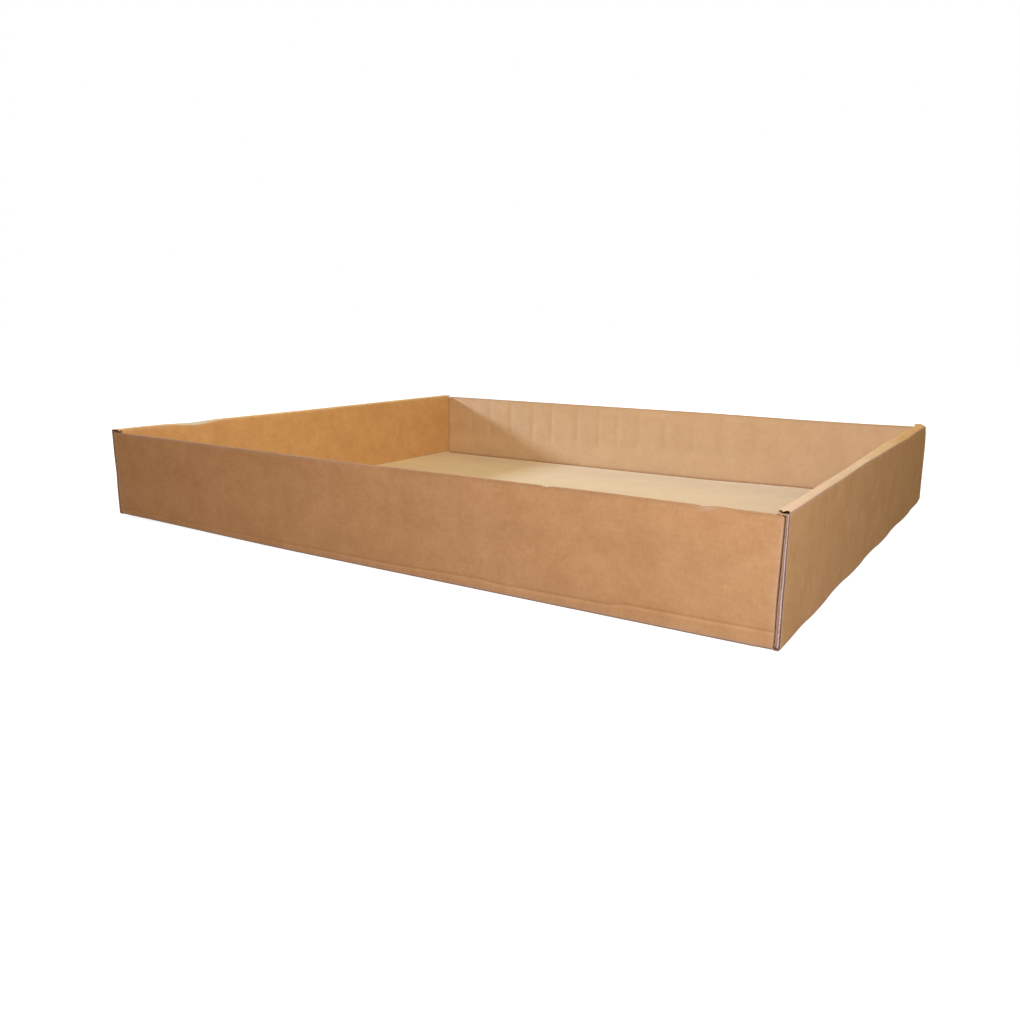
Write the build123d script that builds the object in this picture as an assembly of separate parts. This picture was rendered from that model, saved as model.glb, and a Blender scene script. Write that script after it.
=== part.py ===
"""Roll-end tray folded from one die-cut sheet of double-wall corrugated board.

The base carries four walls. The front and back walls are single board with a cut top edge.
Each end wall stands up outside, rolls over a flat rim and comes down again inside, so that it
traps the corner flaps of the front and back walls. Tabs on its lower edge lock in slots in the base.

Frame, in millimetres: +X along the length, +Y from front to back, +Z up,
origin under the centre of the base.
"""

import os

from build123d import *

# Driving sizes of the tray
inside_length = 1200.0
inside_width = 1000.0
inside_depth = 150.0
board = 6.5
crushed_rim_board = 5.0

# Air between the layers of an end wall, and under its rim
flap_to_inner_panel = 0.5
flap_to_outer_panel = 1.2
wall_top_to_rim = 0.5

# Radii at the creases: outside face of each kind of fold, and the pinched inside face
base_crease_radius = 3.5
rim_crease_radius = 5.0
corner_crease_radius = 4.0
pinched_crease_radius = 0.6

# End walls
outer_panel_inset = 1.0
inner_panel_side_clearance = 2.0
inner_panel_lift = 0.4
inner_panel_corner_cut = 6.0

# Locking tabs of the end walls, and their slots in the base
tab_width = 110.0
tab_spacing = 500.0
tab_tip_above_underside = 1.5
tab_corner_radius = 3.0
slot_clearance = 0.6

# Corner flaps of the front and back walls
flap_length = 240.0
flap_bottom_lift = 1.0
flap_top_drop = 1.5
flap_corner_cut = 18.0

# Places worked out from the sizes above
wall_top = board + inside_depth
rim_underside = wall_top + wall_top_to_rim
rim_top = rim_underside + crushed_rim_board

inner_panel_face = inside_length / 2
inner_panel_back = inner_panel_face + board
flap_inner_face = inner_panel_back + flap_to_inner_panel
flap_outer_face = flap_inner_face + board
outer_panel_back = flap_outer_face + flap_to_outer_panel
end_face = outer_panel_back + board

wall_inner_face = inside_width / 2
wall_face = wall_inner_face + board
outer_panel_half_width = wall_face - outer_panel_inset
inner_panel_half_width = wall_inner_face - inner_panel_side_clearance
inner_panel_bottom = board + inner_panel_lift
corner_crease_start = flap_outer_face - corner_crease_radius


def board_section(outside, inside, *crease_radii):
    """Section through folded board: its two faces, each rounded at the creases, closed by the cut ends."""
    outer_line = FilletPolyline(*outside, radius=list(crease_radii))
    inner_line = FilletPolyline(*inside, radius=[pinched_crease_radius] * len(crease_radii))
    cut_ends = Line(outer_line @ 0, inner_line @ 0) + Line(outer_line @ 1, inner_line @ 1)
    return make_face(outer_line + inner_line + cut_ends)


def rolled_end():
    """Half of the base with the right end wall: up outside, over the rim and down inside."""
    section = board_section(
        [
            (0, 0),
            (end_face, 0),
            (end_face, rim_top),
            (inner_panel_face, rim_top),
            (inner_panel_face, inner_panel_bottom),
        ],
        [
            (0, board),
            (outer_panel_back, board),
            (outer_panel_back, rim_underside),
            (inner_panel_back, rim_underside),
            (inner_panel_back, inner_panel_bottom),
        ],
        base_crease_radius,
        rim_crease_radius,
        rim_crease_radius,
    )
    return extrude(Plane.XZ * section, amount=outer_panel_half_width, both=True)


def inner_panel_notch():
    """Die-cut notch that narrows the inner panel so that it drops in behind the front wall."""
    outline = Polyline(
        (-wall_face, rim_underside),
        (-inner_panel_half_width, rim_underside),
        (-inner_panel_half_width, inner_panel_bottom + inner_panel_corner_cut),
        (-inner_panel_half_width + inner_panel_corner_cut, inner_panel_bottom),
        (-wall_face, inner_panel_bottom),
        close=True,
    )
    notch = extrude(Plane.YZ * make_face(outline), amount=board + pinched_crease_radius)
    return Pos(inner_panel_face, 0, 0) * notch


def locking_tab(y):
    """Tab on the lower edge of the inner panel, with rounded lower corners."""
    height = inner_panel_bottom - tab_tip_above_underside
    tab = Pos(inner_panel_face, y, tab_tip_above_underside) * Box(
        board, tab_width, height, align=(Align.MIN, Align.CENTER, Align.MIN)
    )
    lower_corners = tab.edges().filter_by(Axis.X).group_by(Axis.Z)[0]
    return fillet(lower_corners, tab_corner_radius)


def tab_slot(y):
    """Slot cut through the base for a locking tab."""
    return Pos(inner_panel_face - slot_clearance, y, 0) * Box(
        board + 2 * slot_clearance,
        tab_width + 2 * slot_clearance,
        board,
        align=(Align.MIN, Align.CENTER, Align.MIN),
    )


def front_wall():
    """Front wall with its crease at the base, carried along the length between the corner creases."""
    section = board_section(
        [(0, 0), (-wall_face, 0), (-wall_face, wall_top)],
        [(0, board), (-wall_inner_face, board), (-wall_inner_face, wall_top)],
        base_crease_radius,
    )
    return extrude(Plane.YZ * section, amount=corner_crease_start, both=True)


def front_corner_flap():
    """Flap at the right end of the front wall, turned in between the two panels of the end wall."""
    flap_end = flap_length - wall_face
    section = board_section(
        [
            (corner_crease_start - board, -wall_face),
            (flap_outer_face, -wall_face),
            (flap_outer_face, flap_end),
        ],
        [
            (corner_crease_start - board, -wall_inner_face),
            (flap_inner_face, -wall_inner_face),
            (flap_inner_face, flap_end),
        ],
        corner_crease_radius,
    )
    bottom = board + flap_bottom_lift
    flap = Pos(0, 0, bottom) * extrude(section, amount=wall_top - flap_top_drop - bottom)
    free_corners = flap.edges().filter_by(Axis.X).group_by(Axis.Y)[-1]
    return chamfer(free_corners, flap_corner_cut)


def tray():
    """The whole folded sheet: one half of each symmetric pair is drawn and mirrored."""
    notch = inner_panel_notch()
    right_end = rolled_end() - notch - mirror(notch, Plane.XZ)
    for y in (-tab_spacing / 2, tab_spacing / 2):
        right_end = right_end - tab_slot(y) + locking_tab(y)
    ends = right_end + mirror(right_end, Plane.YZ)

    flap = front_corner_flap()
    front = front_wall() + flap + mirror(flap, Plane.YZ)
    return ends + front + mirror(front, Plane.XZ)


folded_sheet = tray()
folded_sheet.label = "tray"
os.makedirs("parts", exist_ok=True)
export_step(folded_sheet, os.path.join("parts", "tray.step"))
print("solids", len(folded_sheet.solids()), "volume", round(folded_sheet.volume), "mm3")
print("size", folded_sheet.bounding_box().size)
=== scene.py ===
# %% [markdown]
# # A corrugated tray, folded from one sheet
#
# The object is a shallow open tray for goods on a pallet. One sheet of double-wall board makes all of it:
# the base, two plain long walls, four corner flaps, and two end walls that roll over a rim and lock inside.
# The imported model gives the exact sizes. This script rebuilds the same sheet with what a solid model leaves
# out: paper liners, the layers at the cut edges, rubbed creases and the small bends of a tray in use.

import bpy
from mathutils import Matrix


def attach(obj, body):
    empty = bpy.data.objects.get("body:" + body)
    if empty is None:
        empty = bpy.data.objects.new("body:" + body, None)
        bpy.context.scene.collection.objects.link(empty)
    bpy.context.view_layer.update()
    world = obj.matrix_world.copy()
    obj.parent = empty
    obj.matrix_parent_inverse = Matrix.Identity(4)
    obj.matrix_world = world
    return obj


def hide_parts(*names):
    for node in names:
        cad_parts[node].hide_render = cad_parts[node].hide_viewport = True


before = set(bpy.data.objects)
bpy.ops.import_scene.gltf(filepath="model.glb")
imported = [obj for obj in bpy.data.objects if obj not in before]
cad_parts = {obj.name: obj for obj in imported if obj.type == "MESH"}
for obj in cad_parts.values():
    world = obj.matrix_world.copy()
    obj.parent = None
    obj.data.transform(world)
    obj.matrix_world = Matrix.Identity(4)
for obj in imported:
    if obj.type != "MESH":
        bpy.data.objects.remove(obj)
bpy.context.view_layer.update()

import bpy
import numpy as np
from mathutils import Matrix, Vector

scene = bpy.context.scene
scene.view_settings.view_transform = "Standard"
MM = 0.001

# %% [markdown]
# ## The camera first
#
# The photograph was taken standing in front of the right corner, a little above the tray. Its straight
# edges fix the view: a camera was fitted to them, and the numbers below are its place, its two directions
# and its focal length in pixels of a 1020 pixel picture. A sensor 36 mm wide turns that into a lens.

# %% Camera at the photograph's view
picture_px = 1020
focal_px = 861.8
eye = Vector((0.86595, -1.43878, 0.35959))
ahead = Vector((-0.532538, 0.819633, -0.211199)).normalized()
upward = Vector((-0.120482, 0.173577, 0.977423))

right = ahead.cross(upward).normalized()
upward = right.cross(ahead)
camera = bpy.data.objects.new("camera", bpy.data.cameras.new("camera"))
camera.data.sensor_width = 36.0
camera.data.lens = focal_px * camera.data.sensor_width / picture_px
camera.data.clip_start = 0.01
camera.matrix_world = Matrix.Translation(eye) @ Matrix((right, upward, -ahead)).transposed().to_4x4()
scene.collection.objects.link(camera)
scene.camera = camera
print("lens", round(camera.data.lens, 2), "mm")

# %% [markdown]
# ## Sizes of the folded sheet
#
# All lengths are millimetres until the last step, because a board maker thinks in millimetres. The end
# wall is three layers deep: its inner panel, the corner flap of a long wall, and its outer panel. Small
# gaps keep the layers apart, as in a real folded sheet. The crushed rim is thinner than the rest of the
# board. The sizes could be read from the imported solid, but a few named values make every fold plain.

# %% Sizes, in millimetres
inside_length, inside_width, inside_depth = 1200.0, 1000.0, 150.0
board, rim_board, liner = 6.5, 5.0, 0.6
base_fold, rim_fold, corner_fold, pinch = 3.5, 2.0, 1.4, 0.6
snug_gap, flap_gap, slot_gap = 0.5, 1.2, 0.6
rim_inset, panel_inset = 1.0, 2.0

wall_top = board + inside_depth
rim_under = wall_top + snug_gap
rim_top = rim_under + rim_board
inner_face = inside_length / 2
inner_back = inner_face + board
flap_in = inner_back + snug_gap
flap_out = flap_in + board
outer_back = flap_out + flap_gap
end_face = outer_back + board
wall_in = inside_width / 2
wall_out = wall_in + board
end_half_width = wall_out - rim_inset
inner_half_width = wall_in - panel_inset
wall_end = flap_out - corner_fold

# corner flaps, then the inner panels with their locking tabs
flap_length, flap_bottom, flap_top = 240.0, board + 1.0, wall_top - 1.5
tab_half, tab_place, tab_tip, panel_bottom = 55.0, 250.0, 1.5, board + 0.4
# how deep a cut edge stands open, how far the rim ends are hollow, and how far one is torn back
open_edge, rim_hollow, torn_back = 2.5, 18.0, 4.0
print("outside", 2 * end_face, 2 * wall_out, rim_top)

# %% [markdown]
# ## A line that folds
#
# Every panel starts from a section line: straight runs joined by quarter folds. A bevel on a box could
# round the folds, but it would give both faces of the board the same crease. Here the outside and the
# inside face each get their own line with the same number of points, because the outside of a crease is
# round and its inside is pinched.

# %% Section line with folds
def folded_line(corners, radii, stations, arc_steps=6):
    """Line of straight runs and quarter folds, with each point's place: run number, or between two.

    A run keeps one coordinate and passes the given stations of the other. A fold of radius r at a corner,
    from direction a to direction b, is corner + r (b - a) + r (a sin t - b cos t), t from 0 to 90 degrees.
    """
    corners = np.asarray(corners, float)
    ways = np.diff(corners, axis=0)
    ways /= np.linalg.norm(ways, axis=1)[:, None]
    share = np.linspace(0, 1, arc_steps + 1)
    turn = share[:, None] * np.pi / 2
    points, places = [corners[:1]], [np.zeros(1)]
    for k, stops in enumerate(stations):
        run = np.tile(corners[k], (len(stops), 1))
        run[:, np.argmax(np.abs(ways[k]))] = stops
        points.append(run)
        places.append(np.full(len(stops), float(k)))
        if k < len(radii):
            a, b, r = ways[k], ways[k + 1], radii[k]
            points.append(corners[k + 1] + r * (b - a) + r * (a * np.sin(turn) - b * np.cos(turn)))
            places.append(k + share)
    points.append(corners[-1:])
    places.append(np.full(1, len(stations) - 1.0))
    return np.concatenate(points), np.concatenate(places)


def along(points):
    """Distance along a line of points, from its first point."""
    return np.concatenate([[0], np.cumsum(np.linalg.norm(np.diff(points, axis=0), axis=1))])


def middles(values):
    """Value half way between each two neighbours."""
    return (values[1:] + values[:-1]) / 2


# %% [markdown]
# ## Board from two faces
#
# Corrugated board could be a plain thick sheet, but its cut edges are what tells the eye that it is
# corrugated. So the board is kept as a grid of cells, three layers deep: liner, core, liner. Each cell
# says what is there: nothing, whole board, only the two liners where a cut edge stands open, or only the
# inside liner where the outside one is torn back. A face is drawn wherever solid meets air, so that all
# of it comes out closed.

# %% Closed board between an outside and an inside grid
NOTHING, WHOLE, OPEN, ROOFLESS = 0, 1, 2, 3
crisp_angle = np.radians(40)


def faces_round(solid):
    """Corner indices of every face between a solid cell and air, with each face's axis and grid plane."""
    grid = np.array(solid.shape) + 1
    index = np.arange(grid.prod()).reshape(grid)
    step = np.eye(3, dtype=int)
    quads, axes, planes = [], [], []
    for axis in range(3):
        change = np.diff(np.pad(solid, 1).astype(int), axis=axis)
        change = change[tuple(slice(None) if k == axis else slice(1, -1) for k in range(3))]
        at = np.argwhere(change)
        b, c = step[(axis + 1) % 3], step[(axis + 2) % 3]
        quad = np.stack([at, at + b, at + b + c, at + c], axis=1)
        begins = change[tuple(at.T)] > 0
        quad[begins] = quad[begins][:, ::-1]
        quads.append(index[tuple(np.moveaxis(quad, -1, 0))])
        axes.append(np.full(len(at), axis))
        planes.append(at[:, axis])
    return np.concatenate(quads), np.concatenate(axes), np.concatenate(planes)


def new_mesh(name, points, faces, materials, face_slots=None, point_values=None, uv=None):
    """Mesh from points in millimetres and four-cornered faces, with unused points left out."""
    used, faces = np.unique(faces, return_inverse=True)
    faces = faces.reshape(-1, 4)
    points = points.reshape(-1, 3)[used]
    a, b, c, d = (points[faces[:, k]] for k in range(4))
    volume = np.einsum("ij,ij->", a, np.cross(b, c)) + np.einsum("ij,ij->", a, np.cross(c, d))
    if volume < 0:
        faces = faces[:, ::-1]
    mesh = bpy.data.meshes.new(name)
    mesh.from_pydata((points * MM).tolist(), [], faces.tolist())
    for material in materials:
        mesh.materials.append(material)
    if face_slots is not None:
        mesh.polygons.foreach_set("material_index", face_slots.astype(np.int32))
    mesh.polygons.foreach_set("use_smooth", np.ones(len(faces), bool))
    mesh.set_sharp_from_angle(angle=crisp_angle)
    for value_name, values in (point_values or {}).items():
        attribute = mesh.attributes.new(value_name, "FLOAT", "POINT")
        attribute.data.foreach_set("value", values.reshape(-1)[used].astype(np.float32))
    if uv is not None:
        layer = mesh.uv_layers.new(name="blank")
        corner_uv = uv.reshape(-1, 2)[used][faces.ravel()] * MM
        layer.data.foreach_set("uv", corner_uv.astype(np.float32).ravel())
    piece = bpy.data.objects.new(name, mesh)
    scene.collection.objects.link(piece)
    print(name, len(points), "points", len(faces), "faces")
    return piece


def board_piece(name, outside, inside, cut, blank, wear_and_highlight, painted_shade, materials):
    """Board between two grids of points: point(depth) = outside + depth (inside - outside), depth 0 to 1.

    Wear with its painted highlights, and painted shade, come as pairs, for the outside and the inside face.
    The papers are those of the two faces and of the cut edges. Blank is each point's place on the flat sheet.
    """
    depth = np.array([0, liner, board - liner, board]) / board
    points = outside + depth[:, None, None, None] * (inside - outside)
    solid = np.stack([(cut == WHOLE) | (cut == OPEN), cut == WHOLE, cut != NOTHING])
    faces, axes, planes = faces_round(solid)
    uv = np.broadcast_to(blank, (4,) + blank.shape)
    marks = {mark: np.stack([pair[0], pair[0], pair[1], pair[1]])
             for mark, pair in (("wear_and_highlight", wear_and_highlight), ("painted_shade", painted_shade))}
    slots = np.where((axes == 0) & (planes == 0), 0, np.where((axes == 0) & (planes == 3), 1, 2))
    return new_mesh(name, bent(points), faces, materials, slots, marks, uv)


# %% [markdown]
# ## Kraft paper
#
# The liners are kraft paper: unbleached wood fibre, rolled flat and dried, matt and brown. Three things
# show in it. The pulp settles in soft clouds, fibres lie along the run of the paper machine as fine
# streaks, and the flutes behind the liner show through as very faint lines. Loose fibre ends stand up as
# a fine fuzz, which is why the flat base looks paler when it is seen at a low angle. A rubbed edge is
# paler. The same paler colour also paints highlights on the folds, on parts of the rims and on the front
# wall's top edge at the left, and a darker colour paints shade into the creases, the corners and the edges.
# A scan of paper would repeat, so noise makes the pattern, laid out on the flat sheet before folding: so
# its streaks and flutes turn with each panel.

# %% Material helpers
def linear(code):
    """Linear colour of an sRGB hex code.

    Each channel is c / 12.92 up to 0.04045, and ((c + 0.055) / 1.055) to the power 2.4 above it.
    """
    c = np.array([int(code[k:k + 2], 16) for k in (1, 3, 5)]) / 255
    return (*np.where(c <= 0.04045, c / 12.92, ((c + 0.055) / 1.055) ** 2.4), 1.0)


def add(tree, kind, links=None, inputs=None, **settings):
    """Adds one node: settings are its properties, inputs its socket values, links its incoming sockets."""
    node = tree.nodes.new(kind)
    for key, value in settings.items():
        setattr(node, key, value)
    for key, value in (inputs or {}).items():
        node.inputs[key].default_value = value
    for key, socket in (links or {}).items():
        tree.links.new(socket, node.inputs[key])
    return node


def new_material(name):
    """Empty node material and its output node."""
    material = bpy.data.materials.new(name)
    material.use_nodes = True
    material.node_tree.nodes.clear()
    return material, add(material.node_tree, "ShaderNodeOutputMaterial")


# %% Kraft liner
per_mm = 1 / MM
# pattern sizes in millimetres; real fibres are finer than 0.1 mm, so the streaks are drawn coarser to show
cloud_width, streak_width, streak_length, flute_pitch = 60.0, 3.0, 9.0, 7.9
cloud_share, streak_share, flute_share = 0.8, 0.2, 0.01
tone_low, tone_high = 0.33, 0.67
fuzz_tint = "#F8FFF3"


def kraft_liner_paper(name, dark, light, rubbed_and_lit, pressed, fuzz, gloss):
    """Kraft paper between a dark and a light brown, paler where it is rubbed and where a highlight is
    painted, darker where shade is painted.

    Tone = share of clouds + share of streaks + share of flute lines. The clouds break up into grains of
    about 2 mm. Tone also lifts the surface a little, and fuzz whitens it at low angles.
    """
    material, output = new_material(name)
    tree = material.node_tree
    place = add(tree, "ShaderNodeUVMap", uv_map="blank").outputs["UV"]
    streak_scale = (per_mm / streak_width, per_mm / streak_length, 1.0)
    streak_place = add(tree, "ShaderNodeMapping", {"Vector": place}, {"Scale": streak_scale}).outputs[0]
    streak = add(tree, "ShaderNodeTexNoise", {"Vector": streak_place}, {"Scale": 1.0, "Detail": 2.0})
    cloud = add(tree, "ShaderNodeTexNoise", {"Vector": place},
                {"Scale": per_mm / cloud_width, "Detail": 5.0, "Roughness": 0.85})
    sheet = add(tree, "ShaderNodeSeparateXYZ", {0: place})
    turns = add(tree, "ShaderNodeMath", {0: sheet.outputs[1]}, {1: 2 * np.pi * per_mm / flute_pitch},
                operation="MULTIPLY")
    flute = add(tree, "ShaderNodeMath", {0: turns.outputs[0]}, operation="SINE")
    tone = add(tree, "ShaderNodeMath", {0: cloud.outputs[0]}, {1: cloud_share},
               operation="MULTIPLY").outputs[0]
    for source, share in ((streak, streak_share), (flute, flute_share)):
        tone = add(tree, "ShaderNodeMath", {0: source.outputs[0], 2: tone}, {1: share},
                   operation="MULTIPLY_ADD").outputs[0]
    shade = add(tree, "ShaderNodeMapRange", {"Value": tone}, {"From Min": tone_low, "From Max": tone_high})
    brown = add(tree, "ShaderNodeMix", {0: shade.outputs[0]}, {6: linear(dark), 7: linear(light)},
                data_type="RGBA")
    # the first attribute pales the paper where it is rubbed and where a highlight is painted, the second
    # darkens it with painted shade
    wear_and_highlight_mask = add(tree, "ShaderNodeAttribute", attribute_name="wear_and_highlight")
    painted_shade = add(tree, "ShaderNodeAttribute", attribute_name="painted_shade")
    paler = add(tree, "ShaderNodeMix", {0: wear_and_highlight_mask.outputs["Fac"], 6: brown.outputs[2]}, {7: linear(rubbed_and_lit)},
                data_type="RGBA")
    darker = add(tree, "ShaderNodeMix", {0: painted_shade.outputs["Fac"], 6: paler.outputs[2]},
                 {7: linear(pressed)}, data_type="RGBA")
    bump = add(tree, "ShaderNodeBump", {"Height": tone}, {"Strength": 0.2, "Distance": 0.3 * MM})
    paper = add(tree, "ShaderNodeBsdfPrincipled",
                {"Base Color": darker.outputs[2], "Normal": bump.outputs[0]},
                {"Roughness": 0.8, "Specular IOR Level": gloss, "Sheen Weight": fuzz,
                 "Sheen Roughness": 0.5, "Sheen Tint": linear(fuzz_tint)})
    tree.links.new(paper.outputs[0], output.inputs[0])
    return material


# outside paper: warm mid brown and dead matt, greyish where handling has rubbed it and where a highlight is
# painted; the last colour is painted shade
outer_liner = kraft_liner_paper("kraft_outer_liner", "#B68958", "#CA9D6C", "#C2B9B2", "#8F6238", 0.0, 0.1)
# inside paper: paler and less red, with the fuzz that makes the base shine softly at a low angle; its last
# colour is painted shade too
inner_liner = kraft_liner_paper("kraft_inner_liner", "#B89774", "#C6A582", "#D0B8A0", "#8F6238", 0.34, 0.15)
print("liners", outer_liner.name, inner_liner.name)

# %% [markdown]
# ## Raw paper at the cuts
#
# Where the board is cut, the paper shows its torn fibre: rougher and duller than the face, and a little
# grey. The layers differ, because the fluting is made of recycled paper and the middle liner of a paler
# one, so each gets two tones of its own. Plain colours would do from afar, but the seam at the near corner
# is seen close by, so a noise mottles each paper.

# %% Raw paper of the cut edges
fibre_width = 2.5  # torn fibre is about 1 mm wide; drawn coarser, so that it shows


def raw_paper(name, dark, light):
    """Torn paper between two browns: a noise as wide as the fibre, on Object coordinates."""
    material, output = new_material(name)
    tree = material.node_tree
    place = add(tree, "ShaderNodeTexCoord").outputs["Object"]
    fibre = add(tree, "ShaderNodeTexNoise", {"Vector": place},
                {"Scale": per_mm / fibre_width, "Detail": 3.0}).outputs[0]
    shade = add(tree, "ShaderNodeMapRange", {"Value": fibre}, {"From Min": 0.3, "From Max": 0.7})
    brown = add(tree, "ShaderNodeMix", {0: shade.outputs[0]}, {6: linear(dark), 7: linear(light)},
                data_type="RGBA")
    bump = add(tree, "ShaderNodeBump", {"Height": fibre}, {"Strength": 0.5, "Distance": 0.2 * MM})
    paper = add(tree, "ShaderNodeBsdfPrincipled",
                {"Base Color": brown.outputs[2], "Normal": bump.outputs[0]},
                {"Roughness": 0.9, "Specular IOR Level": 0.15})
    tree.links.new(paper.outputs[0], output.inputs[0])
    return material


# the cut through the liners: close to their brown, without the smooth face
raw_edge = raw_paper("raw_cut_edge", "#A9835F", "#C6A27E")
# the fluting in the seam: grey-brown in its own tone, a darker copy that is painted shade, and the pale
# middle liner between them
fluting = raw_paper("fluting_medium", "#967A66", "#B0937E")
shade_painted_fluting = raw_paper("shade_painted_fluting", "#6E5546", "#8C7060")
pale_fluting = raw_paper("pale_fluting", "#BDA391", "#D6C0B0")
# the fluting of the top edges, browner from handling
brown_fluting = raw_paper("brown_fluting", "#8F6A4C", "#A98462")
print("cut papers", [m.name for m in (raw_edge, fluting, shade_painted_fluting, pale_fluting, brown_fluting)])

# %% [markdown]
# ## Bends from handling
#
# A big tray is never quite flat. The back wall has been bowed once and kept a row of kinks, the crease at
# its foot is crushed, the layers of the right end are pressed together at the near top, and one corner of
# the base lifts a little. A cloth simulation could bend the sheet, but hardly in just the places that the
# photograph shows. So the bends are small smooth offsets of the points, in millimetres: both faces of the
# board and the layers between them move together.

# %% Shape functions for bends
def smooth_step(low, high, value):
    """0 at low, 1 at high, and 3 t^2 - 2 t^3 between them; low may be the larger."""
    t = np.clip((value - low) / (high - low), 0, 1)
    return t * t * (3 - 2 * t)


def bell(value, centre, reach):
    """Bell curve exp(-((value - centre) / reach)^2)."""
    return np.exp(-((value - centre) / reach) ** 2)


# %% Kinks of the back wall
kink_lines = np.array([-520.0, -460.0, -393.0, -324.0, -267.0, -190.0, -129.0, -76.0, -19.0,
                       50.0, 122.0, 194.0, 272.0, 328.0, 392.0])
kink_depths = np.array([0.7, 1.6, 1.8, 1.7, 1.8, 1.6, 1.4, 1.1, 1.0,
                        0.85, 0.75, 0.65, 0.55, 0.55, 0.45])
kink_reach = 7.0


def kinks(x, z):
    """Grooves of the back wall: a bell across each kink line, full between 75 and 128 mm of height.

    They fade out down to 45 mm and up to 160 mm.
    """
    grooves = (kink_depths * bell(x[..., None], kink_lines, kink_reach)).sum(-1)
    return grooves * smooth_step(45, 75, z) * smooth_step(160, 128, z)


# %% Places of the other bends
# the front wall's crease above its foot jogs twice, so its height is given along X
crease_places = np.array([-600.0, 69.0, 142.0, 215.0, 240.0, 412.0, 428.0, 600.0])
crease_heights = np.array([9.0, 11.0, 13.4, 14.6, 13.0, 14.7, 19.0, 20.0])
# dents: the left rim's along Y, and the front wall's nick and torn dent along X
rim_dent, top_nick, top_tear = -335.0, 312.0, 519.0
print("kinks", len(kink_lines), "crease", crease_heights.min(), "to", crease_heights.max(), "mm up")


# %% All bends together
def bent(points):
    """Moves points of the sheet by all bends, in the order of the comments below.

    Each bend is its height in millimetres times steps or bells that say where along the tray it is.
    """
    x, y, z = np.moveaxis(np.asarray(points, float), -1, 0)
    up = np.clip(z / rim_top, 0, 1)
    at_right = smooth_step(400, 600, x)
    at_left = smooth_step(-400, -600, x)
    at_front = smooth_step(wall_in - 20, wall_in - 2, -y)
    at_back = smooth_step(wall_in - 20, wall_in - 2, y)
    on_end = smooth_step(590, 599, np.abs(x))
    # back wall: kinks, and a top edge that stands a little high between the rims
    dy = at_back * kinks(x, z)
    dz = at_back * 2.6 * up ** 3 * (1 - smooth_step(594, 600, np.abs(x))) * smooth_step(420, 120, x)
    # back crease: the board is crushed flat along it, and the foot of the wall is pushed in
    pressed = smooth_step(400, 100, x) * (x > -inner_face + 1)
    in_base = np.clip(z / board, 0, 1)
    dz = dz - 3.8 * pressed * smooth_step(468, 497, y) * in_base * smooth_step(45, board, z)
    dy = dy - 5.0 * pressed * at_back * smooth_step(70, board, z) * smooth_step(wall_out, wall_in + 1, y)
    # creases along the feet of the long walls are pressed in
    dz = dz - 1.6 * bell(np.abs(y), wall_in - 0.5, 2.2) * smooth_step(12, board, z) * in_base
    # front left corner of the base lifts
    dz = dz + 4.2 * smooth_step(-120, -620, x) * smooth_step(0, -506, y) * (1 - 0.6 * up)
    # left end leans out at its near top corner, and its rim has a shallow dent
    dx = -2.2 * up * at_left * smooth_step(-300, -480, y)
    dent_depth = 1.8 + 2.6 * smooth_step(-621, -602, x)
    dz = dz - dent_depth * bell(y, rim_dent, 42) * on_end * at_left * up ** 6
    # near right corner stands out, and the layers of its top are pressed together against the outer panel
    near_corner = at_right * smooth_step(-250, -480, y)
    dx = dx + 2.0 * near_corner
    pinched = smooth_step(180, -250, y) * smooth_step(40, 158, z) * smooth_step(480, 600, x)
    dx = dx + pinched * np.clip(end_face - x, 0, end_face - inner_face) / 3
    # right end of the front wall stands back from the outer panel, and a dark gap opens beside it
    beside_gap = at_front * smooth_step(604, 612, x) * (x < outer_back - 0.3) * (z < rim_under - 0.2)
    dx = dx - (0.4 + 0.8 * smooth_step(20, 90, z)) * beside_gap
    # roof of the near rim end sags in its middle, and the rim's outer edge is wavy
    dz = dz - 1.8 * bell(x, 608, 2) * smooth_step(-484, -504, y) * smooth_step(159, 161, z)
    edge_waves = -0.9 * bell(y, -260, 50) + 1.2 * bell(y, -90, 60) - 2.0 * bell(y, 265, 60)
    dz = dz + edge_waves * smooth_step(608, 620, x) * up ** 10
    # right outer panel: uneven foot, rounded far corners
    foot = (1 - up) ** 5 * on_end * at_right
    waves = np.tanh(1.6 * np.sin(2 * np.pi * (y + 380) / 218)) * smooth_step(-500, -400, y)
    dx = dx + foot * 0.9 * waves
    dz = dz + foot * (0.4 - 0.4 * waves)
    far = smooth_step(470, 506, y) ** 2 * smooth_step(480, 605, x)
    dz = dz + far * (7.0 * (1 - up) ** 6 + up ** 12 * (1.5 - 4.0 * smooth_step(613, 621, x)))
    dx = dx - far * 3.0 * up ** 8
    # front wall: faint bend at half height, groove above the foot, nick and torn dent in the top edge
    dy = dy + at_front * 0.8 * bell(z, 80, 22)
    crease = np.interp(x, crease_places, crease_heights)
    dy = dy + at_front * 0.6 * bell(z, crease + 1.2, 2.0) * (0.4 + 0.6 * smooth_step(-300, 100, x))
    dy = dy - at_front * 1.5 * (1 - (x / 620) ** 2) * (1 - up)
    top_edge = at_front * smooth_step(135, 156, z)
    dents = -1.6 * bell(x, top_nick, 5) - 1.3 * bell(x, top_tear, 6) + 0.7 * bell(x, top_tear + 22, 9)
    dz = dz + top_edge * dents
    dz = dz + top_edge * (-0.8 * bell(x, 10, 160) + 0.6 * bell(x, 380, 70))
    return np.stack([x + dx, y + dy, z + dz], axis=-1)


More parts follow.
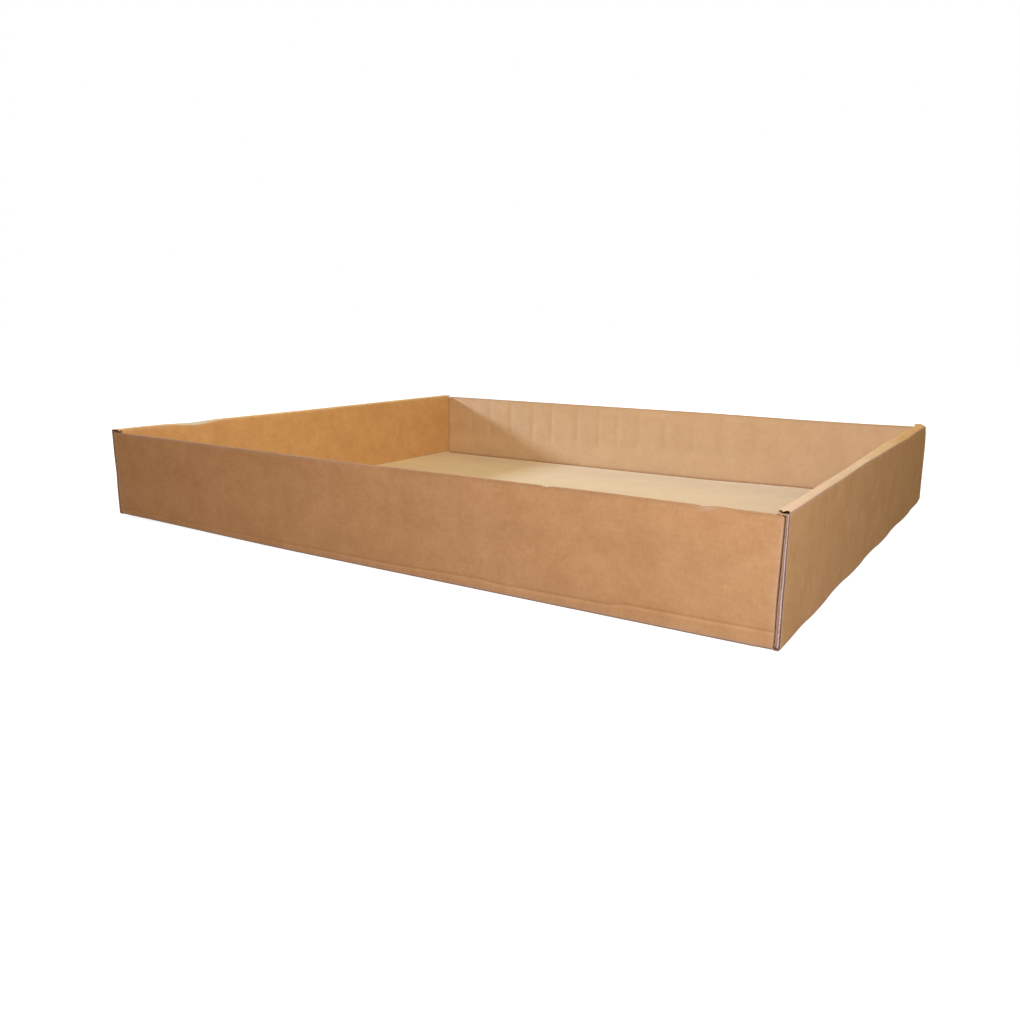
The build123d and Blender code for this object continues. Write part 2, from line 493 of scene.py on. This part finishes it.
# %% [markdown]
# ## Base and rolled ends
#
# Seen from the front, one section line makes the base and both end walls: up the inner panel on the left,
# over the rim, down outside, along the base, and the same again on the right. The line is carried across
# the width. Separate panels could be joined instead, but then their creases would not close. Cells outside
# the cut outline are left empty: the inner panels are narrower than the rims, tabs hang from their lower
# edges, and each tab has a slot in the base. The flutes run along this line, so its cut sides run along
# them. The ends of the rims are hollow, and the near end of the right one has lost its top liner.

# %% Section of the rolled ends
# stations of each run: up the inner panel, over the rim on its outside and its inside, up the outer panel
inner_stops = np.concatenate([[panel_bottom], np.linspace(14, rim_under - 2, 20)])
rim_stops_out, rim_stops_in = np.array([603.8, 608.0, 612.2]), np.array([607.4, 609.6, 612.2])
outer_stops = np.linspace(9, rim_under - 3, 28)
slot_in, slot_out = inner_face - slot_gap, inner_back + slot_gap
base_corner = flap_out + 0.3
# along the base, with both edges of the slots, the wall's end and the corner, mirrored to the left
base_stops = np.concatenate([np.linspace(0, 590, 30), [slot_in, slot_out, wall_end, base_corner]])
base_stops = np.concatenate([-base_stops[:0:-1], base_stops])


def end_section(x_outer, x_inner, z_low, z_high, radii, rim_stops):
    """Section of one face, from the left inner panel to the right one."""
    end_stations = [inner_stops, -rim_stops, outer_stops[::-1], base_stops,
                    outer_stops, rim_stops[::-1], inner_stops[::-1]]
    corners = [(-x_inner, tab_tip), (-x_inner, z_high), (-x_outer, z_high), (-x_outer, z_low),
               (x_outer, z_low), (x_outer, z_high), (x_inner, z_high), (x_inner, tab_tip)]
    return folded_line(corners, radii, end_stations)


end_radii = [rim_fold, rim_fold, base_fold, base_fold, rim_fold, rim_fold]
outer_line, end_place = end_section(end_face, inner_face, 0, rim_top, end_radii, rim_stops_out)
inner_line, _ = end_section(outer_back, inner_back, board, rim_under, [pinch] * 6, rim_stops_in)
middle_line = (outer_line + inner_line) / 2
print("section", len(end_place), "points,", round(along(middle_line)[-1]), "mm long")

# %% Cut outline of the rolled ends
slot_half = tab_half + slot_gap
columns = np.concatenate([
    end_half_width - np.array([0, open_edge, rim_hollow, torn_back]),
    [wall_in, inner_half_width, wall_in - 4, wall_in - 8],
    tab_place + np.array([slot_half, tab_half, -tab_half, -slot_half]),
    np.linspace(484, 4, 50),
])
columns = np.sort(np.concatenate([columns, -columns]))

place, cell_y = middles(end_place), np.abs(middles(columns))
cell_x, cell_z = np.abs(middles(middle_line[:, 0])), middles(middle_line[:, 1])
on_inner = (place == 0) | (place == 6)
on_base = (place > 2.6) & (place < 3.4)
outer_width = np.where(on_base & (cell_x < base_corner), wall_in, end_half_width)
half_width = np.where(on_inner, inner_half_width, outer_width)
end_cut = np.where(cell_y < half_width[:, None], WHOLE, NOTHING)
tab_rows = (on_inner & (cell_z < panel_bottom))[:, None]
end_cut[tab_rows & (np.abs(cell_y - tab_place) > tab_half)] = NOTHING
slot_rows = (on_base & (cell_x > slot_in) & (cell_x < slot_out))[:, None]
end_cut[slot_rows & (np.abs(cell_y - tab_place) < slot_half)] = NOTHING
side_rows = (((place > 1.7) & (place < 4.3)) & (cell_x > base_corner))[:, None]
end_cut[side_rows & (cell_y > end_half_width - open_edge)] = OPEN
torn_rows = (place == 5)[:, None]
rim_rows = (((place > 0.1) & (place < 1.8)) | ((place > 4.2) & (place < 5.9)))[:, None]
end_cut[rim_rows & (cell_y > end_half_width - rim_hollow)] = OPEN
end_cut[torn_rows & (middles(columns) < torn_back - end_half_width)] = ROOFLESS
print("end cells", [int((end_cut == kind).sum()) for kind in (WHOLE, OPEN, ROOFLESS)],
      "whole, open, roofless")


# %% Rolled ends
def across(line):
    """Grid of points: the section line in X and Z, repeated at every column in Y."""
    x, y = np.broadcast_arrays(line[:, :1], columns)
    z = np.broadcast_to(line[:, 1:], x.shape)
    return np.stack([x, y, z], axis=-1)


def rubbed_and_lit(distance_to_fold, distance_to_cut):
    """Paler marks: the larger of a faint bell round the folds, partly rubbing and partly a painted highlight
    on their round, and a stronger, narrower bell of rubbing along the cuts.
    """
    at_folds = 0.12 * bell(distance_to_fold, 0, 2)[:, None]
    at_cuts = 0.25 * bell(distance_to_cut, 0, 1.5)[None, :]
    return np.maximum(at_folds, at_cuts)


def to_fold(line, places):
    """Distance along a line from each point to the nearest point inside a fold."""
    s = along(line)
    return np.abs(s[:, None] - s[places % 1 == 0.5][None, :]).min(axis=1)


end_wear_and_highlight = rubbed_and_lit(to_fold(middle_line, end_place), end_half_width - np.abs(columns))
on_rim = ((end_place > 0.3) & (end_place < 1.7)) | ((end_place > 4.3) & (end_place < 5.7))
right_rim = on_rim & (end_place > 3)
left_rim = on_rim & (end_place < 3)
# right rim: paler towards its near end, partly rubbing of the rolled rim and partly painted light on the near
# part of its top
end_wear_and_highlight = np.maximum(end_wear_and_highlight, 0.4 * right_rim[:, None] * smooth_step(500, -200, columns))
# left rim: paler at its dent, a painted highlight where the dented top tilts to the light, with some rubbing
end_wear_and_highlight = np.maximum(end_wear_and_highlight, 0.8 * left_rim[:, None] * bell(columns, rim_dent, 45))
section_x, section_z = np.abs(middle_line[:, :1]), middle_line[:, 1:]
# painted shade along the creases where the long walls and the inner panels meet the base
base_painted_shade = np.maximum(bell(np.abs(columns), wall_in - 0.5, 6.0), 0.5 * bell(section_x, inner_face, 2.5))
base_painted_shade = 0.75 * base_painted_shade * (section_z < board) * (section_x < inner_face + 2)
no_painted_shade = np.zeros_like(end_wear_and_highlight)
end_blank = np.stack(np.meshgrid(along(middle_line), columns, indexing="ij"), axis=-1)
board_papers = [outer_liner, inner_liner, raw_edge]
rolled_ends = board_piece("base_and_rolled_ends", across(outer_line), across(inner_line), end_cut,
                          end_blank, (end_wear_and_highlight, end_wear_and_highlight), (no_painted_shade, base_painted_shade), board_papers)

# %% [markdown]
# ## Long walls and their corner flaps
#
# Seen from above, a long wall and its two flaps are one line with two corner folds. The line is carried
# up from the crease at the base to the cut top edge. Between the flaps the foot of the wall rounds into
# the base; the flaps are cut short at the top and bottom, so that they slide in between the panels of the
# end wall. The wall could be folded up from the base's own grid, but the folds of its flaps run the other
# way, so it is a piece of its own that meets the base in the crease.

# %% Plan line and heights of a long wall
flap_end = flap_length - wall_out
flap_stops = np.linspace(flap_end - 10, -wall_in + 12, 10)
wall_stops = np.union1d(np.linspace(-wall_end + 4, wall_end - 4, 260), kink_lines)


def wall_plan(x_flap, y_wall, radius):
    """Plan line of one face of the front wall, from the left flap's end to the right flap's end."""
    corners = [(-x_flap, flap_end), (-x_flap, -y_wall), (x_flap, -y_wall), (x_flap, flap_end)]
    return folded_line(corners, [radius, radius], [flap_stops, wall_stops, flap_stops[::-1]])


plan_out, wall_place = wall_plan(flap_out, wall_out, corner_fold)
plan_in, _ = wall_plan(flap_in, wall_in, pinch)

foot_turn = np.linspace(0, np.pi / 2, 7)
foot_heights, upper_heights = np.linspace(9, 25, 17), np.linspace(29, wall_top - open_edge, 34)
heights = np.concatenate([[flap_bottom], foot_heights, upper_heights, [flap_top, wall_top]])
foot_inset = np.concatenate([[board - 0.02], base_fold * (1 - np.sin(foot_turn)), np.zeros(len(heights))])
z_out = np.concatenate([[0], base_fold * (1 - np.cos(foot_turn)), heights])
z_in = np.concatenate([np.linspace(board, flap_bottom - 0.2, len(foot_turn) + 1), heights])
print("plan", len(wall_place), "points,", len(z_out), "heights")

# %% Cut outline of a long wall
wall_cell, cell_z = middles(wall_place), middles(z_out)
on_wall = (wall_cell == 1)[:, None]
on_corner = ((wall_cell > 0.3) & (wall_cell < 1.7))[:, None]
in_flap = (cell_z > flap_bottom) & (cell_z < flap_top)
wall_cut = np.where(on_wall | in_flap | (on_corner & (cell_z > 0.4) & (cell_z < flap_top)), WHOLE, NOTHING)
wall_cut[on_wall & (cell_z > wall_top - open_edge)] = OPEN
print("wall cells", [int((wall_cut == kind).sum()) for kind in (WHOLE, OPEN)], "whole, open")


# %% Front and back walls
def upright(plan, inset, z):
    """Grid of points: the plan line in X and Y at every height, drawn in at the foot of the wall."""
    x, z = np.broadcast_arrays(plan[:, :1], z)
    y = plan[:, 1:] + inset * (np.abs(plan[:, 1:]) > wall_in - 1)
    return np.stack([x, y, z], axis=-1)


wall_line = (plan_out + plan_in) / 2
wall_wear_and_highlight = rubbed_and_lit(to_fold(wall_line, wall_place), wall_top - z_out)
wall_wear_and_highlight = np.maximum(wall_wear_and_highlight, 0.2 * bell(z_out, 1.5, 3))
wall_blank = np.stack(np.meshgrid(along(wall_line), z_out, indexing="ij"), axis=-1)
# front wall: its top edge has a painted highlight at the left and the painted shade of its open flutes at the
# right, with a pale spot beside the torn dent
front_x, pale_spot = plan_out[:, :1], top_tear + 7
flute_shade_edge = smooth_step(0, 150, front_x) * bell(z_out, wall_top, 2.5)
spot_wear = 0.3 * bell(front_x, pale_spot, 11) * bell(z_out, wall_top, 4)
left_edge_highlight = 0.2 * smooth_step(250, -300, front_x) * bell(z_out, wall_top, 2.5)
front_wear_and_highlight = np.maximum(np.maximum(wall_wear_and_highlight * (1 - flute_shade_edge), spot_wear), left_edge_highlight)
front_painted_shade = 0.3 * flute_shade_edge * (1 - bell(front_x, pale_spot, 20))
# inside faces: painted shade in the creases at the foot, in the corners and under the top edge
corner_painted_shade = 0.4 * bell(np.abs(plan_in[:, :1]), inner_face, 2.5)
foot_painted_shade = 0.75 * np.maximum(bell(z_in, board, 3.5), corner_painted_shade)
inside_painted_shade = np.maximum(foot_painted_shade, 0.6 * bell(z_in, wall_top, 1.8))
no_outside_shade = np.zeros_like(wall_wear_and_highlight)

to_front, to_back = np.array([1.0, 1.0, 1.0]), np.array([1.0, -1.0, 1.0])
long_walls = []
for name, side, wear_and_highlight, painted_shade in (("front_wall", to_front, front_wear_and_highlight, front_painted_shade),
                                ("back_wall", to_back, wall_wear_and_highlight, no_outside_shade)):
    outside = upright(plan_out, foot_inset, z_out) * side
    inside = upright(plan_in, np.zeros(len(z_in)), z_in) * side
    long_walls.append(board_piece(name, outside, inside, wall_cut, wall_blank,
                                  (wear_and_highlight, wall_wear_and_highlight), (painted_shade, inside_painted_shade), board_papers))

# %% [markdown]
# ## Layers in the cut edges
#
# Between its liners the board has two layers of fluting and a middle liner. All cut edges of this tray run
# along the flutes, and the cutting rule crushes them, so an edge shows long soft cords with dark lines
# between them instead of a row of little arches. Waves could be modelled, but they would show something
# that isn't there. Two brown cords fill the top edges of the long walls. The seam at the near right corner
# is seen best: it has three strands, a dark one in painted shade, a pale one and a mid one, and at the
# foot all of them end in painted shade.

# %% Edge lines
def top_edges():
    """The top edges of the long walls: outside line, inside line and inward direction of each."""
    runs = wall_place == 1
    top = np.full((runs.sum(), 1), wall_top)
    for side in (1.0, -1.0):
        outside = np.hstack([plan_out[runs] * (1, side), top])
        inside = np.hstack([plan_in[runs] * (1, side), top])
        yield outside, inside, (0, 0, -1)


def end_edges(end, low, high):
    """The cut sides of one end wall's outer panel between two places, as top_edges gives them.

    End is -1 for the left end and 1 for the right one.
    """
    runs = (end_place >= low) & (end_place <= high) & (end * outer_line[:, 0] > base_corner - 0.1)
    for side in (1.0, -1.0):
        y = np.full((runs.sum(), 1), side * end_half_width)
        outside, inside = (np.hstack([line[runs][:, :1], y, line[runs][:, 1:]])
                           for line in (outer_line, inner_line))
        yield outside, inside, (0, -side, 0)


# %% Crushed layers
fluting_paper = 0.35
# an edge longer than long_edge takes the long step between its points, any other the short one
long_edge, long_step, short_step = 300.0, 6.0, 1.0


def cord(outside, inside, inward, low, high, drift):
    """Crushed layer at a cut edge, from depth low to depth high, as a strip that bulges outward.

    Set in by 0.3 + 1.2 (1 - sin(pi u)) + 0.2 sin(2 pi s / drift) millimetres, with u from 0 to 1 over the
    depth and s along the edge. Its depth wanders by 0.15 sin(2 pi s / (0.37 drift)).
    """
    s = along((outside + inside) / 2)
    step = long_step if s[-1] > long_edge else short_step
    fine = np.linspace(s[0], s[-1], int((s[-1] - s[0]) / step))
    u = np.linspace(0, 1, 7)[:, None]
    wander = 0.15 * np.sin(2 * np.pi * fine / (0.37 * drift))
    depth = (low + (high - low) * u + wander)[..., None] / board
    inset = (0.3 + 1.2 * (1 - np.sin(np.pi * u)) + 0.2 * np.sin(2 * np.pi * fine / drift))[..., None]
    a = np.stack([np.interp(fine, s, outside[:, k]) for k in range(3)], axis=-1)
    b = np.stack([np.interp(fine, s, inside[:, k]) for k in range(3)], axis=-1)
    return a + depth * (b - a) + inset * np.asarray(inward, float)


def ribbons_piece(name, ribbons, material):
    """One piece from several ribbons, given the thickness of its paper by Solidify."""
    points, faces, start = [], [], 0
    for grid in ribbons:
        index = np.arange(grid.shape[0] * grid.shape[1]).reshape(grid.shape[:2]) + start
        quads = np.stack([index[:-1, :-1], index[1:, :-1], index[1:, 1:], index[:-1, 1:]], axis=-1)
        faces.append(quads.reshape(-1, 4))
        points.append(grid.reshape(-1, 3))
        start += index.size
    piece = new_mesh(name, bent(np.concatenate(points)), np.concatenate(faces), [material])
    paper = piece.modifiers.new("paper", "SOLIDIFY")
    paper.thickness, paper.offset = fluting_paper * MM, 0.0
    return piece


# %% Top edges, left end and seams
# each cord: depth where it begins, depth where it ends, and the length of its drift
worn_depths = [(0.8, 2.9, 170.0), (3.4, 5.8, 130.0)]
seam_depths = [(0.7, 2.2, 170.0), (2.3, 4.5, 130.0), (4.6, 6.2, 150.0)]
seam_papers = [("outer", shade_painted_fluting), ("middle", pale_fluting), ("inner", fluting)]

worn_edges = [*top_edges(), *end_edges(-1, 1.8, 3.0)]
seam_edges, seam_foot = [*end_edges(1, 3.3, 4.2)], [*end_edges(1, 3.0, 3.4)]
worn_cords = [cord(*edge, *depths) for edge in worn_edges for depths in worn_depths]
edge_layers = [ribbons_piece("worn_edge_layers", worn_cords, brown_fluting)]
for (name, paper), depths in zip(seam_papers, seam_depths):
    cords = [cord(*edge, *depths) for edge in seam_edges]
    edge_layers.append(ribbons_piece(f"seam_{name}_layer", cords, paper))
# the foot of the seam takes the dark fluting: painted shade where the strands end
foot_cords = [cord(*edge, *depths) for edge in seam_foot for depths in seam_depths]
edge_layers.append(ribbons_piece("seam_foot_layers", foot_cords, shade_painted_fluting))

# %% [markdown]
# ## Where the pieces belong
#
# All pieces are the one folded sheet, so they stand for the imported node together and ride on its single
# body. They could be joined into one mesh, but as pieces each keeps its own paper and name.

# %% Frame calls
for piece in (rolled_ends, *long_walls, *edge_layers):
    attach(piece, "root")
    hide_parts("tray")
print("pieces", 1 + len(long_walls) + len(edge_layers))

# %% [markdown]
# ## Floor and light
#
# The photograph has a plain white ground. A very bright floor would light the tray from below, so the
# floor is grey to the light that bounces, and white only where it is seen. It keeps a soft shadow under
# the tray. A cool window at the left rakes across the tray and throws the left wall's shadow over the back
# wall and the base. A soft box at the right front lifts the near end of the front wall. Weak warm lamps
# from the front, above, behind and the right side fill the rest, as the walls of a room would.

# %% Floor
WHITE = (1.0, 1.0, 1.0, 1.0)
BOUNCE_GREY, SHADOW_GREY = (0.12, 0.12, 0.12, 1.0), (0.3, 0.3, 0.3, 1.0)


def seen_directly(tree):
    """1 for rays that show the ground itself: from the camera, by gloss or through something clear."""
    rays = add(tree, "ShaderNodeLightPath")
    seen = rays.outputs["Is Camera Ray"]
    for kind in ("Is Glossy Ray", "Is Transmission Ray"):
        seen = add(tree, "ShaderNodeMath", {0: seen, 1: rays.outputs[kind]}, operation="MAXIMUM").outputs[0]
    return seen


def white_floor():
    """Matt floor: grey for light that bounces, and mostly glow to the camera, so that it reads white.

    The glow rises from 0.9 at 0.9 m from the middle to 1 at 3 m; the light and the shadow make the rest.
    """
    material, output = new_material("white_floor")
    tree = material.node_tree
    matt = add(tree, "ShaderNodeBsdfDiffuse", inputs={"Color": BOUNCE_GREY})
    faint = add(tree, "ShaderNodeBsdfDiffuse", inputs={"Color": SHADOW_GREY})
    place = add(tree, "ShaderNodeTexCoord").outputs["Object"]
    away = add(tree, "ShaderNodeVectorMath", {0: place}, operation="LENGTH").outputs["Value"]
    strength = add(tree, "ShaderNodeMapRange", {"Value": away},
                   {"From Min": 0.9, "From Max": 3.0, "To Min": 0.9, "To Max": 1.0})
    glow = add(tree, "ShaderNodeEmission", {"Strength": strength.outputs[0]}, {"Color": WHITE})
    ground = add(tree, "ShaderNodeAddShader", {0: faint.outputs[0], 1: glow.outputs[0]})
    mixed = add(tree, "ShaderNodeMixShader",
                {0: seen_directly(tree), 1: matt.outputs[0], 2: ground.outputs[0]})
    tree.links.new(mixed.outputs[0], output.inputs[0])
    return material


floor_reach = 60000.0
floor_points = floor_reach * np.array([[-1, -1, 0], [1, -1, 0], [1, 1, 0], [-1, 1, 0]])
floor = new_mesh("floor", floor_points, np.arange(4)[None], [white_floor()])

# %% Lights
world = bpy.data.worlds.new("studio")
scene.world = world
world.use_nodes = True
world.node_tree.nodes.clear()
air = world.node_tree
room = add(air, "ShaderNodeBackground", inputs={"Color": (1.0, 0.95, 0.9, 1), "Strength": 0.03})
white = add(air, "ShaderNodeBackground", inputs={"Color": WHITE, "Strength": 1.0})
sky = add(air, "ShaderNodeMixShader", {0: seen_directly(air), 1: room.outputs[0], 2: white.outputs[0]})
add(air, "ShaderNodeOutputWorld", {0: sky.outputs[0]})


def soft_lamp(name, place, aim, size, watts, colour):
    """Square area lamp at a place, turned towards a point it aims at."""
    data = bpy.data.lights.new(name, "AREA")
    data.energy, data.color, data.size = watts, colour, size
    holder = bpy.data.objects.new(name, data)
    turn = (Vector(aim) - Vector(place)).to_track_quat("-Z", "Y")
    holder.matrix_world = Matrix.Translation(place) @ turn.to_matrix().to_4x4()
    scene.collection.objects.link(holder)


# name, place and aim in metres, size in metres, power in watts, colour
soft_lamp("window", (-2.75, -0.45, 1.06), (0.0, 0.2, 0.0), 0.26, 92.8, (0.6, 0.77, 1.0))
soft_lamp("right_front", (1.15, -1.45, 0.95), (0.5, -0.4, 0.05), 0.7, 32.7, (0.82, 0.83, 1.0))
soft_lamp("right_side", (4.0, 0.2, 2.4), (0.0, 0.1, 0.0), 1.6, 44.0, (1.0, 0.84, 0.51))
soft_lamp("front", (-0.2, -2.4, 0.22), (-0.1, 0.0, 0.1), 0.8, 9.7, (1.0, 0.55, 0.2))
soft_lamp("overhead", (-0.1, -0.2, 1.4), (-0.1, 0.25, 0.0), 0.6, 11.2, (1.0, 0.83, 0.2))
soft_lamp("behind", (-0.1, 1.7, 1.6), (0.0, 0.2, 0.0), 1.0, 11.0, (1.0, 0.98, 0.35))
soft_lamp("back_fill", (-0.6, 2.6, 0.5), (-0.1, 0.5, 0.1), 0.6, 22.0, (1.0, 0.97, 0.93))
print("lamps", [lamp.name for lamp in bpy.data.lights])
